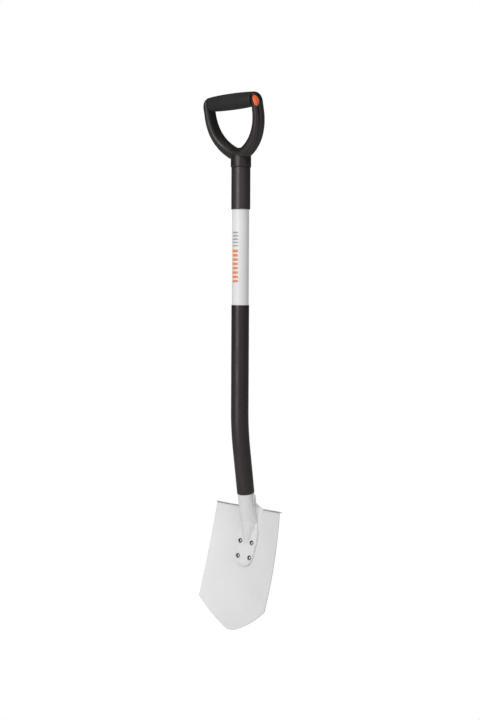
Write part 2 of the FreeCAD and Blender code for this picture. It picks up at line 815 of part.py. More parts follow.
def make_grip_parts(screw_hole):
    """The D frame and the two coloured inlays in its corners."""
    blank = make_grip_blank()
    doc.recompute()
    tools = [make_inlay_tool("left_inlay", -1), make_inlay_tool("right_inlay", 1)]
    inlays = [
        common("grip_inlay_left", blank, tools[0]),
        common("grip_inlay_right", blank, tools[1]),
    ]
    socket = add_cylinder(
        "grip_socket",
        "sizes.tube_radius + sizes.sleeve_gap",
        "sizes.socket_depth + 1.3",
        Placement(Vector(0, 0, collar_bottom - 1), Rotation()),
    )
    pockets = fuse("grip_pockets", [socket, screw_hole] + tools)
    return cut("grip_frame", blank, pockets), inlays


def make_bar_cover():
    """Soft barrel-shaped cover on the D's bar, turned about the bar's axis."""
    body = doc.addObject("PartDesign::Body", "cover_body")
    section = add_sketch(body, "cover_section", "XZ_Plane")
    half = size("cover_half")
    bore = size("core_radius") + size("cover_gap")
    end = size("bar_end")
    add_line(section, (-half, bore), (half, bore))
    add_line(section, (half, bore), (half, end))
    add_arc(section, (half, end), (0, size("bar_middle")), (-half, end))
    add_line(section, (-half, end), (-half, bore))
    doc.recompute()
    turn = body.newObject("PartDesign::Revolution", "cover_turn")
    turn.Profile = section
    turn.ReferenceAxis = (section, ["H_Axis"])
    turn.Angle = 360
    on_bar = Placement(Vector(0, 0, size("grip_reach")), Rotation())
    body.Placement = grip_frame_place.multiply(on_bar)
    doc.recompute()
    return body


def make_label():
    """Printed film on the front of the bare tube."""
    bottom = sleeve_top + size("label_rise")
    start_angle = -90 - size("label_angle") / 2
    place = Placement(Vector(0, 0, bottom), Rotation(Z_AXIS, start_angle))
    film = add_cylinder(
        "label_outside", "sizes.tube_radius + sizes.label_film", "sizes.label_length", place
    )
    film.setExpression("Angle", "sizes.label_angle")
    lower = Placement(Vector(0, 0, bottom - 1), Rotation())
    core = add_cylinder(
        "label_inside", "sizes.tube_radius", "sizes.label_length + 2", lower
    )
    return cut("shaft_label", film, core)


# --- the whole spade --------------------------------------------------------------------

blade_face = make_blade_face()
rivet_holes = make_rivet_holes()
screw_hole = make_screw_hole()
tongue = make_tongue(blade_face)
shaft_tube = make_shaft_tube(tongue, rivet_holes, screw_hole)
tube_space = flare(
    "tube_space", "sizes.neck_gap", "sizes.neck_rise + 5", "sizes.neck_gap"
)
blade_blank = extrude("blade_blank", blade_face, blade_back, "sizes.sheet")
blade = make_blade(blade_blank, blade_face, tube_space, rivet_holes)
grip_frame, inlays = make_grip_parts(screw_hole)
plug_body = turned("plug", plug_outline)

PIECES = {
    "blade": blade,
    "shaft_tube": shaft_tube,
    "lower_sleeve": make_lower_sleeve(),
    "blade_rivets": make_rivets(),
    "neck_bush": make_neck_bush(),
    "shaft_plug": cut("shaft_plug", plug_body, screw_hole),
    "grip_frame": grip_frame,
    "grip_bar_cover": make_bar_cover(),
    "grip_inlay_left": inlays[0],
    "grip_inlay_right": inlays[1],
    "grip_screw": make_grip_screw(),
    "shaft_label": make_label(),
}
doc.recompute()

for label, piece in PIECES.items():
    piece.Label = label

for thing in doc.Objects:
    if "Invalid" in thing.State or "Error" in thing.State:
        raise RuntimeError("%s failed: %s" % (thing.Name, thing.State))

for label, piece in PIECES.items():
    if piece.Shape.isNull() or not piece.Shape.isValid():
        raise RuntimeError("%s has no valid shape" % label)

os.makedirs("parts", exist_ok=True)
for label, piece in PIECES.items():
    piece.Shape.exportStep("parts/%s.step" % label)
    box = piece.Shape.BoundBox
    print(
        "%-18s %d solid(s) %9.0f mm3  x %7.1f %7.1f  y %7.1f %7.1f  z %7.1f %7.1f"
        % (
            label,
            len(piece.Shape.Solids),
            piece.Shape.Volume,
            box.XMin,
            box.XMax,
            box.YMin,
            box.YMax,
            box.ZMin,
            box.ZMax,
        )
    )
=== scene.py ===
import bmesh
import bpy
import math
from mathutils import Matrix, Vector


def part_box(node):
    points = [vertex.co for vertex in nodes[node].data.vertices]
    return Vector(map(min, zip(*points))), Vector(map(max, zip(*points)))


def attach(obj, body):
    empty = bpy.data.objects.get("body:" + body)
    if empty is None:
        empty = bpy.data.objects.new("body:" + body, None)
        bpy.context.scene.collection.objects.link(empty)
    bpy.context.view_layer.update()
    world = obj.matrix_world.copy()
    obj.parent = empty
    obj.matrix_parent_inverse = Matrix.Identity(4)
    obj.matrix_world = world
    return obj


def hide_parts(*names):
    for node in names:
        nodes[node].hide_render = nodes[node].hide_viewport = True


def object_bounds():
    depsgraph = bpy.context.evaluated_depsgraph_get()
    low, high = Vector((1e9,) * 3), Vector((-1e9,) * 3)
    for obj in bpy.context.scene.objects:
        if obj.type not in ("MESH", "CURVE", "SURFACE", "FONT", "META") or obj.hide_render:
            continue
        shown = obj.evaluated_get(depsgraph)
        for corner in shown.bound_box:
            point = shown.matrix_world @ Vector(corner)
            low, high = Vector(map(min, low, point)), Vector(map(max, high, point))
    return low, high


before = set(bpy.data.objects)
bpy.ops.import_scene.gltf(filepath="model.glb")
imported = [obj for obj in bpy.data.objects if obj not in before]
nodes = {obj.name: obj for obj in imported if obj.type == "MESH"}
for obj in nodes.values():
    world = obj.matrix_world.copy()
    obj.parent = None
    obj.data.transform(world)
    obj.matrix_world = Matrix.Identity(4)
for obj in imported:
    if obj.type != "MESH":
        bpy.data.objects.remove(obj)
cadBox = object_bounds()
mm = 0.001                    # lengths in the dictionaries are in mm, apart from the studio's

studio = {
    "lens": 53.5,
    "sensor": 36,
    "azimuth": 40.0,          # round from the front towards the right side
    "distance": 2.109,        # level distance from the shaft's axis
    "height": 0.153,
    "pitch": 4.23,            # looking down
    "roll": 0.28,
    "farClip": 60,
    "floorSize": 40,
    "floorDrop": 0.004,       # floor below the tip
    "floorTone": (0.5, 0.5, 0.5, 1),
    "floorRough": 0.9,
    "white": (1, 1, 1, 1),
    "roomLight": 0.64,        # what falls on the spade from all round
    "roomShine": 0.05,        # what glossy surfaces see of the room
    "lamps": (                # name, place before turning, size, power, aim
        ("softLeft", (-1.5, -1.9, 0.5), (0.8, 2.4), 27, (0, 0, 0)),
        ("softUpper", (-1.0, -1.2, 0.95), (0.5, 0.6), 3.6, (0, 0, 0.42)),
        ("softFront", (0.9, -2.4, 0.9), (2.0, 2.0), 7, (0, 0, -0.1)),
        ("softTop", (0.0, -0.6, 2.6), (2.0, 2.0), 14, (0, 0, 0)),
    ),
}


def turned(vector, azimuth):
    return Matrix.Rotation(math.radians(azimuth), 3, "Z") @ Vector(vector)


def clearSelection():
    if bpy.context.object and bpy.context.object.mode != "OBJECT":
        bpy.ops.object.mode_set(mode="OBJECT")
    bpy.ops.object.select_all(action="DESELECT")


def placeCamera():
    clearSelection()
    spot = turned((0, -studio["distance"], 0), studio["azimuth"])
    bpy.ops.object.camera_add(location=(spot.x, spot.y, studio["height"]))
    camera = bpy.context.object
    camera.name = "mainCamera"
    camera.data.lens = studio["lens"]
    camera.data.sensor_width = studio["sensor"]
    aim = Matrix.Rotation(math.radians(studio["azimuth"]), 4, "Z")
    aim = aim @ Matrix.Rotation(math.radians(90 - studio["pitch"]), 4, "X")
    aim = aim @ Matrix.Rotation(math.radians(studio["roll"]), 4, "Z")
    camera.rotation_euler = aim.to_euler()
    camera.data.clip_end = studio["farClip"]
    bpy.context.scene.camera = camera


def mixByRay(tree, ray, first, second):
    # that kind of ray sees the second shader, all others see the first
    rays = tree.nodes.new("ShaderNodeLightPath")
    choice = tree.nodes.new("ShaderNodeMixShader")
    tree.links.new(rays.outputs[ray], choice.inputs["Fac"])
    tree.links.new(first.outputs[0], choice.inputs[1])
    tree.links.new(second.outputs[0], choice.inputs[2])
    return choice


def makeFloor():
    low = cadBox[0].z - studio["floorDrop"]
    clearSelection()
    bpy.ops.mesh.primitive_plane_add(size=studio["floorSize"], location=(0, 0, low))
    floor = bpy.context.object
    floor.name = "paleFloor"
    paint = bpy.data.materials.new("paleFloor")
    paint.use_nodes = True
    tree = paint.node_tree
    shader = tree.nodes["Principled BSDF"]
    shader.inputs["Base Color"].default_value = studio["floorTone"]
    shader.inputs["Roughness"].default_value = studio["floorRough"]
    glow = tree.nodes.new("ShaderNodeEmission")
    choice = mixByRay(tree, "Is Camera Ray", shader, glow)
    tree.links.new(choice.outputs[0], tree.nodes["Material Output"].inputs["Surface"])
    floor.data.materials.append(paint)


def makeRoom():
    # white behind the spade, a softer light all round it, and little for gloss to mirror
    world = bpy.data.worlds.new("paleRoom")
    bpy.context.scene.world = world
    world.use_nodes = True
    tree = world.node_tree
    room = tree.nodes["Background"]
    backdrop = tree.nodes.new("ShaderNodeBackground")
    dimRoom = tree.nodes.new("ShaderNodeBackground")
    strengths = ((room, studio["roomLight"]), (backdrop, 1.0), (dimRoom, studio["roomShine"]))
    for shade, strength in strengths:
        shade.inputs["Color"].default_value = studio["white"]
        shade.inputs["Strength"].default_value = strength
    shine = mixByRay(tree, "Is Glossy Ray", room, dimRoom)
    chooser = mixByRay(tree, "Is Camera Ray", shine, backdrop)
    tree.links.new(chooser.outputs[0], tree.nodes["World Output"].inputs["Surface"])


def addLamps():
    for name, offset, size, power, target in studio["lamps"]:
        bpy.ops.object.light_add(type="AREA", location=turned(offset, studio["azimuth"]))
        lamp = bpy.context.object
        lamp.name = name
        lamp.data.shape = "RECTANGLE"
        lamp.data.size, lamp.data.size_y = size
        lamp.data.energy = power
        towards = Vector(target) - lamp.location
        lamp.rotation_euler = towards.to_track_quat("-Z", "Y").to_euler()
    bpy.context.scene.view_settings.view_transform = "Standard"


def beginSweep(name, ring):
    # a sweep starts as a circle, whose numbered points are then placed ring by ring
    clearSelection()
    bpy.ops.mesh.primitive_circle_add(vertices=len(ring), radius=20 * mm)
    piece = bpy.context.object
    piece.name = name
    piece.data.name = name
    bpy.ops.object.mode_set(mode="EDIT")
    bpy.ops.mesh.select_mode(type="VERT")
    bpy.ops.mesh.select_all(action="SELECT")
    shape = bmesh.from_edit_mesh(piece.data)
    column = shape.verts.layers.int.new("column")
    shape.verts.ensure_lookup_table()
    for number, vert in enumerate(shape.verts):
        vert[column] = number
    placeRing(piece, ring)
    return piece


def placeRing(piece, ring):
    shape = bmesh.from_edit_mesh(piece.data)
    column = shape.verts.layers.int["column"]
    for vert in shape.verts:
        if vert.select:
            vert.co = Vector(ring[vert[column]]) * mm
    bmesh.update_edit_mesh(piece.data)


def capRing():
    bpy.ops.mesh.extrude_region_move()
    bpy.ops.mesh.merge(type="CENTER")


def sweep(name, rings, capStart=True, capEnd=True, closed=False):
    piece = beginSweep(name, rings[0])
    for ring in rings[1:]:
        bpy.ops.mesh.extrude_region_move()
        placeRing(piece, ring)
    if closed:
        bpy.ops.mesh.select_all(action="SELECT")
        bpy.ops.mesh.remove_doubles(threshold=0.005 * mm)
    if capEnd and not closed:
        capRing()
    if capStart and not closed:
        bpy.ops.mesh.select_all(action="DESELECT")
        bpy.ops.mesh.select_non_manifold()
        capRing()
    bpy.ops.mesh.select_all(action="SELECT")
    bpy.ops.mesh.normals_make_consistent(inside=False)
    bpy.ops.object.mode_set(mode="OBJECT")
    return piece


def smooth(piece, angle=40):
    clearSelection()
    bpy.context.view_layer.objects.active = piece
    piece.select_set(True)
    bpy.ops.object.shade_smooth_by_angle(angle=math.radians(angle))


def applyAll(piece):
    clearSelection()
    bpy.context.view_layer.objects.active = piece
    piece.select_set(True)
    for modifier in list(piece.modifiers):
        bpy.ops.object.modifier_apply(modifier=modifier.name)


def combine(piece, name, operation, tool):
    # joins or cuts with the tool, which is then thrown away
    step = piece.modifiers.new(name, "BOOLEAN")
    step.operation = operation
    step.object = tool
    step.solver = "EXACT"
    applyAll(piece)
    bpy.data.objects.remove(tool, do_unlink=True)


def settle(piece, slotName, *nodeNames):
    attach(piece, "root")
    if nodeNames:
        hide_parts(*nodeNames)


def blendValues(first, second, share):
    return first + (second - first) * share


def clamped(value):
    return min(1.0, max(0.0, value))


def easeBetween(low, high, value):
    share = clamped((value - low) / (high - low))
    return share * share * (3 - 2 * share)


shaft = {
    "radius": 16.5,
    "bore": 15.2,
    "top": 392.0,
    "topRim": (16.1, 0.4),    # radius at the very end, and height of its soft edge
    "bendStart": 105.5,       # below the origin, along the shaft
    "bendRadius": 470.0,
    "bendAngle": 8.8,
    "tail": 131.5,            # round tube below the bend
    "points": 96,
    "straightSteps": 12,
    "bendSteps": 8,
    "tailSteps": 11,
}
bendEnd = shaft["bendStart"] + shaft["bendRadius"] * math.radians(shaft["bendAngle"])
tailEnd = bendEnd + shaft["tail"]


def shaftAt(along):
    # the place and lean of the shaft's axis, so far down from the origin
    bend = math.radians(shaft["bendAngle"])
    start, radius = shaft["bendStart"], shaft["bendRadius"]
    if along <= start:
        return Vector((0, 0, -along)), 0.0
    arc = min((along - start) / radius, bend)
    spot = Vector((0, radius * (1 - math.cos(arc)), -start - radius * math.sin(arc)))
    rest = along - start - radius * bend
    if rest > 0:
        spot += Vector((0, math.sin(bend), -math.cos(bend))) * rest
    return spot, arc


def roundRing(along, radius, count):
    spot, lean = shaftAt(along)
    across = Vector((0, math.cos(lean), math.sin(lean)))
    ring = []
    for number in range(count):
        turn = math.tau * number / count
        aside = Vector((math.cos(turn), 0, 0)) * radius
        ring.append(spot + aside + across * math.sin(turn) * radius)
    return ring


def hollowSweep(name, outline, inner, count=64):
    rings = [roundRing(along, radius, count) for along, radius in outline]
    rings += [roundRing(along, inner, count) for along, radius in reversed(outline)]
    rings.append(rings[0])
    return sweep(name, rings, closed=True)


bladeFrame = {
    "origin": (0, 40.23, -303.5),
    "tilt": 16.5,
    "length": 244.4,
    "halfTread": 80.8,
    "dish": 14.3,
    "bow": 8.1,
}


def onBlade(x, down, back):
    tilt = math.radians(bladeFrame["tilt"])
    y = bladeFrame["origin"][1] - down * math.sin(tilt) + back * math.cos(tilt)
    z = bladeFrame["origin"][2] - down * math.cos(tilt) - back * math.sin(tilt)
    return Vector((x, y, z))


def bladeBack(x, down):
    # how far the sheet's front lies behind the blade's own plane
    share = down / bladeFrame["length"]
    bow = 4 * bladeFrame["bow"] * share * (1 - share)
    return bow - bladeFrame["dish"] * (x / bladeFrame["halfTread"]) ** 2


def shaftSlope():
    # how fast the tube comes nearer to the blade on the way down
    return math.tan(math.radians(bladeFrame["tilt"] + shaft["bendAngle"]))


grip = {
    "tilt": 12.6,
    "root": 384.0,            # height of the D's root on the shaft's axis
    "forward": 1.8,           # how far the D leans forward of that line
    "forwardFrom": (15, 45),  # where that starts, and over what height
    "barHeight": 115.5,
    "coverHalf": 53.4,
    "barEnd": 13.7,
    "barMiddle": 15.7,
    "outer": 68.2,            # half the D's overall width
    "points": 128,
    "foot": {"centre": (0, 14.2), "heading": (1, 0), "thick": 13.6, "deep": 15.6,
             "ridge": 0.0, "power": 2.3},
    "legSteps": (3, 30),      # the first used, and how many make a whole leg
    "legFoot": (4.4, 13.0),   # the leg's curve is drawn by these four places
    "legBelly": (38.9, 27.7),
    "legSide": (-0.8, 55.4),
    "legTop": 92.65,
    "legThick": 7.85,         # half the legs' thickness at the bar
    "legDeep": 13.6,
    "rootThick": 11.4,
    "rootDeep": 16.2,
    "full": 2.8,              # how square the legs' section is
    "ridgeStart": (0.02, 0.2),
    "ridgePitch": 9.6,
    "ridgeDepth": 3.0,
    "ridgeSharp": 0.8,
    "ridgeEdge": (0.97, 5),   # share of the depth where ridges stop, and how quickly
    "cornerLow": 101.5,       # where the legs turn into the bar's corners
    "cornerFirst": (95.0, 97.0, 99.0),
    "cornerSteps": 25,
    "cornerShape": (2.5, 2.1),
    "cornerInner": (96, 102),
    "cornerRidge": (104, 112),
    "cornerSoft": (108, 124),
    "cornerFull": 2.3,
    "topGap": 0.02,
}


def onGrip(x, depth, up):
    tilt = math.radians(grip["tilt"])
    start, height = grip["forwardFrom"]
    depth -= grip["forward"] * clamped((up - start) / height)
    y = depth * math.cos(tilt) - up * math.sin(tilt)
    z = grip["root"] + up * math.cos(tilt) + depth * math.sin(tilt)
    return Vector((x, y, z))


def legStation(share):
    middle = grip["outer"] - grip["legThick"]
    side, sideUp = grip["legSide"]
    poles = (grip["legFoot"], grip["legBelly"], (middle + side, sideUp), (middle, grip["legTop"]))
    rest = 1 - share
    weights = (rest ** 3, 3 * share * rest ** 2, 3 * share ** 2 * rest, share ** 3)
    slopes = (rest ** 2, 2 * share * rest, share ** 2)
    spot = [sum(w * pole[axis] for w, pole in zip(weights, poles)) for axis in (0, 1)]
    run = [sum(w * (after[axis] - before[axis])
               for w, before, after in zip(slopes, poles, poles[1:])) for axis in (0, 1)]
    length = math.hypot(*run)
    return {
        "centre": spot,
        "heading": (run[0] / length, run[1] / length),
        "thick": blendValues(grip["rootThick"], grip["legThick"], share),
        "deep": blendValues(grip["rootDeep"], grip["legDeep"], share),
        "ridge": easeBetween(*grip["ridgeStart"], share),
        "power": grip["full"],
    }


def cornerStation(up):
    top = grip["barHeight"] + grip["barEnd"]
    low = grip["cornerLow"]
    rise = max(0.0, (up - low) / (top - low))
    legInner = grip["outer"] - 2 * grip["legThick"]
    under = grip["coverHalf"] - 0.3      # a little way into the bar cover
    inner = blendValues(legInner, under, easeBetween(*grip["cornerInner"], up))
    risePower, reachPower = grip["cornerShape"]
    reach = inner + (grip["outer"] - inner) * (1 - rise ** risePower) ** (1 / reachPower)
    height = up - grip["barHeight"]
    deep = grip["legDeep"]
    if height >= 0:
        # the corner's top is as round as the bar, and never quite shuts
        deep = math.sqrt(max(grip["topGap"], grip["barEnd"] ** 2 - height ** 2))
    soft = easeBetween(*grip["cornerSoft"], up)
    return {
        "centre": ((inner + reach) / 2, up),
        "heading": (0, 1),
        "thick": (reach - inner) / 2,
        "deep": deep,
        "ridge": 1 - easeBetween(*grip["cornerRidge"], up),
        "power": blendValues(grip["full"], grip["cornerFull"], soft),
    }


def sectionPoint(station, turn, proud=0.0):
    # a squared oval, with ridges along its outer side
    heading, power = station["heading"], station["power"]
    outward = (heading[1], -heading[0])
    side, front = math.cos(turn), math.sin(turn)
    out = station["thick"] * math.copysign(abs(side) ** (2 / power), side)
    depth = station["deep"] * math.copysign(abs(front) ** (2 / power), front)
    if side > 0:
        wave = 0.5 - 0.5 * math.cos(math.tau * depth / grip["ridgePitch"])
        stop, rate = grip["ridgeEdge"]
        edge = clamped((stop - abs(depth) / station["deep"]) * rate)
        out -= grip["ridgeDepth"] * station["ridge"] * wave ** grip["ridgeSharp"] * edge
    size = math.hypot(side, front)
    out += proud * side / size
    depth += proud * front / size
    centre = station["centre"]
    return onGrip(centre[0] + outward[0] * out, depth, centre[1] + outward[1] * out)


def sectionRing(station):
    count = grip["points"]
    return [sectionPoint(station, math.tau * number / count) for number in range(count)]


collar = {
    "points": 72,
    "outline": ((-374.0, 18.9), (-374.0, 19.6), (-374.5, 19.9), (-380.0, 19.9), (-388.0, 19.9),
                (-394.5, 19.8), (-396.5, 19.3), (-397.6, 18.2), (-398.0, 16.0)),
    "sinkRadius": 4.7,        # counterbore for the screw at the back
    "sinkDepth": 8,
    "sinkAside": 0.9,         # its middle, behind the screw's head
    "sinkPoints": 48,
}


def makeGripFrame():
    firstStep, legSteps = grip["legSteps"]
    stations = [grip["foot"]]
    stations += [legStation(step / legSteps) for step in range(firstStep, legSteps + 1)]
    stations += [cornerStation(up) for up in grip["cornerFirst"]]
    low, top = grip["cornerLow"], grip["barHeight"] + grip["barEnd"] - grip["topGap"]
    for number in range(grip["cornerSteps"] + 1):
        share = math.sin(math.radians(90 * number / grip["cornerSteps"]))
        stations.append(cornerStation(blendValues(low, top, share)))
    piece = sweep("gripFrame", [sectionRing(station) for station in stations], capStart=False)
    mirror = piece.modifiers.new("otherLeg", "MIRROR")
    mirror.use_clip = True
    mirror.merge_threshold = 0.02 * mm
    applyAll(piece)
    rings = [roundRing(along, radius, collar["points"]) for along, radius in collar["outline"]]
    combine(piece, "joinCollar", "UNION", sweep("gripCollar", rings))
    low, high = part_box("grip_screw")
    clearSelection()
    bpy.ops.mesh.primitive_cylinder_add(
        vertices=collar["sinkPoints"], radius=collar["sinkRadius"] * mm,
        depth=collar["sinkDepth"] * mm, rotation=(math.pi / 2, 0, 0),
        location=(0, high[1] + collar["sinkAside"] * mm, (low[2] + high[2]) / 2))
    combine(piece, "screwSink", "DIFFERENCE", bpy.context.object)
    smooth(piece, 38)
    return piece


cover = {
    "points": 96,
    "steps": 48,
    "bore": 9.2,
    "lip": ((0.0, 12.7), (0.25, 13.3), (0.9, 13.75)),    # in from each end, and radius
    "swell": 2.2,
}


def makeBarCover():
    half, count = grip["coverHalf"], cover["points"]
    lipIn, lipRadius = cover["lip"][-1]
    end = [(half, cover["bore"])] + [(half - inward, radius) for inward, radius in cover["lip"]]
    stations = [(-x, radius) for x, radius in end]
    for step in range(1, cover["steps"]):
        x = blendValues(-half + lipIn, half - lipIn, step / cover["steps"])
        swell = (abs(x) / half) ** cover["swell"]
        stations.append((x, blendValues(grip["barMiddle"], lipRadius, swell)))
    stations += reversed(end)
    rings = []
    for x, radius in stations:
        ring = []
        for number in range(count):
            turn = math.tau * number / count
            up = grip["barHeight"] + math.sin(turn) * radius
            ring.append(onGrip(x, math.cos(turn) * radius, up))
        rings.append(ring)
    piece = sweep("gripBarCover", rings)
    smooth(piece)
    return piece


inlay = {
    "turns": {-1: (-20.0, 19.0), 1: (-42.0, 38.0)},      # middle and half width, in degrees
    "up": 112.2,
    "upHalf": 10.2,
    "proud": 0.5,
    "wall": 1.6,
    "edge": 0.3,
    "points": 56,
    "insets": 8,
    "inset": 0.11,
    "fall": 0.6,              # how much lower the crown is at the rim
}


def makeInlay(name, side):
    clearSelection()
    bpy.ops.mesh.primitive_circle_add(vertices=inlay["points"], radius=1, fill_type="NGON")
    piece = bpy.context.object
    piece.name = name
    piece.data.name = name
    bpy.ops.object.mode_set(mode="EDIT")
    for step in range(inlay["insets"]):
        bpy.ops.mesh.inset(thickness=inlay["inset"], depth=0)
    bpy.ops.mesh.select_all(action="SELECT")
    shape = bmesh.from_edit_mesh(piece.data)
    middle, half = inlay["turns"][side]
    for vert in shape.verts:
        station = cornerStation(inlay["up"] + vert.co.y * inlay["upHalf"])
        station["ridge"] = 0.0
        away = math.hypot(vert.co.x, vert.co.y)
        crown = inlay["proud"] * (1 - inlay["fall"] * away ** 4)
        spot = sectionPoint(station, math.radians(middle + vert.co.x * half), crown)
        vert.co = Vector((spot.x * side, spot.y, spot.z)) * mm
    bmesh.update_edit_mesh(piece.data)
    shape.normal_update()
    for face in shape.faces:
        if face.normal.x * side < 0:
            face.normal_flip()
    bmesh.update_edit_mesh(piece.data)
    bpy.ops.object.mode_set(mode="OBJECT")
    wall = piece.modifiers.new("wall", "SOLIDIFY")
    wall.thickness = inlay["wall"] * mm
    wall.offset = -1
    edge = piece.modifiers.new("edge", "BEVEL")
    edge.width = inlay["edge"] * mm
    edge.segments = 2
    edge.limit_method = "ANGLE"
    edge.angle_limit = math.radians(50)
    applyAll(piece)
    smooth(piece, 50)
    return piece


bush = {
    "bore": 16.62,
    "outline": ((-292.3, 17.2), (-292.3, 18.0), (-293.0, 18.6), (-298.0, 18.6), (-330.0, 18.6),
                (-360.0, 18.6), (-373.0, 18.6), (-373.8, 18.2)),
}


def makeNeckBush():
    piece = hollowSweep("neckBush", bush["outline"], bush["bore"])
    smooth(piece)
    return piece


sleeve = {
    "bore": 16.55,
    "radius": 17.5,
    "top": ((-105.5, 17.0), (-105.2, 17.35), (-104.6, 17.5)),
    "foot": ((0.7, 17.5), (0.2, 17.3), (0.0, 16.9)),     # up from the lower end, and radius
    "belowBend": 95.0,
    "steps": 46,
}


def makeSleeve():
    low = bendEnd + sleeve["belowBend"]
    outline = list(sleeve["top"])
    foot = [(low - up, radius) for up, radius in sleeve["foot"]]
    start, end = outline[-1][0], foot[0][0]
    for step in range(1, sleeve["steps"]):
        outline.append((blendValues(start, end, step / sleeve["steps"]), sleeve["radius"]))
    piece = hollowSweep("lowerSleeve", outline + foot, sleeve["bore"])
    smooth(piece)
    return piece


# the tube's lower end is pressed into a ridge that sinks into a flat riveted tongue
flare = {
    "blendFrom": 14,          # the round tube starts to change this far above its end
    "blendOver": 40,
    "blendSteps": 10,
    "blendPower": 1.3,
    "start": 30.0,            # down the blade, where the change is done
    "straight": 38.0,         # where the ridge starts to narrow
    "ridgeEnd": 90.0,         # where it would run out
    "ridgeHalf": 17.0,
    "ridgeLeast": 4.0,
    "ridgeShare": 0.55,       # of the tongue's width, at most, past that
    "crest": -30.0,           # of the ridge, in front of the blade's plane
    "crestDown": 7.8,         # measured here
    "domePower": 1.15,
    "crease": 0.56,           # share of each ring's points that lie on the ridge
    "tubeHalf": 17.2,
    "flangeHalf": 26.0,
    "spread": (12.0, 52.0),
    "flangeTaper": 4.5,       # the tongue is this much narrower by its end, each side
    "taper": (58, 108),
    "flangeThick": 4.6,
    "rimWidth": 1.6,
    "rimShare": 0.35,         # of the thickness, at the very edge
    "endShare": 0.55,         # of the thickness, at the lower end
    "endThin": 6,
    "clear": 0.15,            # in front of the sheet
    "end": 119.5,
    "endRound": 24.0,
    "endPower": 2.3,
    "stepLong": 2.0,
    "stepShort": 1.0,
    "lastGap": 0.3,
}


def flareWidth(down):
    half = blendValues(flare["tubeHalf"], flare["flangeHalf"], easeBetween(*flare["spread"], down))
    half -= flare["flangeTaper"] * easeBetween(*flare["taper"], down)
    left = flare["end"] - down
    if left < flare["endRound"]:
        rise = 1 - (1 - left / flare["endRound"]) ** flare["endPower"]
        half *= math.sqrt(max(0.0, rise))
    return half


def flareRing(down):
    half = flareWidth(down)
    narrow = clamped((down - flare["straight"]) / (flare["ridgeEnd"] - flare["straight"]))
    ridgeHalf = max(flare["ridgeLeast"], flare["ridgeHalf"] * (1 - narrow))
    if down > flare["ridgeEnd"]:
        ridgeHalf = min(ridgeHalf, flare["ridgeShare"] * half)
    crest = flare["crest"] + shaftSlope() * (down - flare["crestDown"])
    thinner = min(1.0, (flare["end"] - down) / flare["endThin"])
    thick = flare["flangeThick"] * blendValues(flare["endShare"], 1, thinner)
    crease = flare["crease"]
    ring = []
    for number in range(shaft["points"]):
        turn = math.tau * number / shaft["points"]
        across = abs(math.cos(turn))
        hand = math.copysign(1, math.cos(turn))
        if math.sin(turn) > 0:
            x = hand * across * half
            ring.append(onBlade(x, down, bladeBack(x, down) - flare["clear"]))
            continue
        # one column of points stays on the crease beside the ridge
        if across > crease:
            x = blendValues(ridgeHalf, half, (across - crease) / (1 - crease))
            dome = 0.0
        else:
            x = ridgeHalf * across / crease
            dome = math.sqrt(1 - (across / crease) ** 2)
        back = bladeBack(x, down) - flare["clear"]
        rim = math.sqrt(clamped((half - x) / flare["rimWidth"]))
        front = back - thick * blendValues(flare["rimShare"], 1, rim)
        top = min(crest, back - thick)
        ring.append(onBlade(hand * x, down, blendValues(front, top, dome ** flare["domePower"])))
    return ring


def mixRings(first, second, share):
    return [a.lerp(b, share) for a, b in zip(first, second)]


def tubeRun(start, end, steps):
    spots = [blendValues(start, end, step / steps) for step in range(1, steps + 1)]
    return [roundRing(along, shaft["radius"], shaft["points"]) for along in spots]


def makeShaftTube():
    count, top = shaft["points"], -shaft["top"]
    rimRadius, rimHeight = shaft["topRim"]
    rings = [roundRing(top, shaft["bore"], count), roundRing(top, rimRadius, count),
             roundRing(top + rimHeight, shaft["radius"], count)]
    change = tailEnd - flare["blendFrom"]
    rings += tubeRun(top, shaft["bendStart"], shaft["straightSteps"])
    rings += tubeRun(shaft["bendStart"], bendEnd, shaft["bendSteps"])
    rings += tubeRun(bendEnd, change, shaft["tailSteps"])
    first = flareRing(flare["start"])
    for step in range(1, flare["blendSteps"]):
        share = step / flare["blendSteps"]
        tubeRing = roundRing(change + flare["blendOver"] * share, shaft["radius"], count)
        rings.append(mixRings(tubeRing, first, easeBetween(0, 1, share) ** flare["blendPower"]))
    down = flare["start"]
    while down < flare["end"] - flare["lastGap"] - 0.1:
        rings.append(flareRing(down))
        straight = down < flare["end"] - flare["endRound"]
        down += flare["stepLong"] if straight else flare["stepShort"]
    rings.append(flareRing(flare["end"] - flare["lastGap"]))
    piece = sweep("shaftTube", rings)
    smooth(piece, 38)
    return piece


rivet = {
    "half": 14.9,             # half their spacing across
    "rows": (70.4, 100.6),    # below the tread edge
    "seat": 4.5,              # the tongue's face above the sheet
    "head": 5.1,
    "dome": 2.9,
    "domeSteps": 8,
    "domeTip": 0.35,
    "sunk": 0.4,
    "shank": 2.45,
    "rear": 2.1,              # the sheet and a hair's gap
    "tail": ((0.0, 4.2), (0.5, 4.2), (1.3, 3.7), (1.8, 2.4)),    # behind the sheet, and radius
    "points": 32,
}


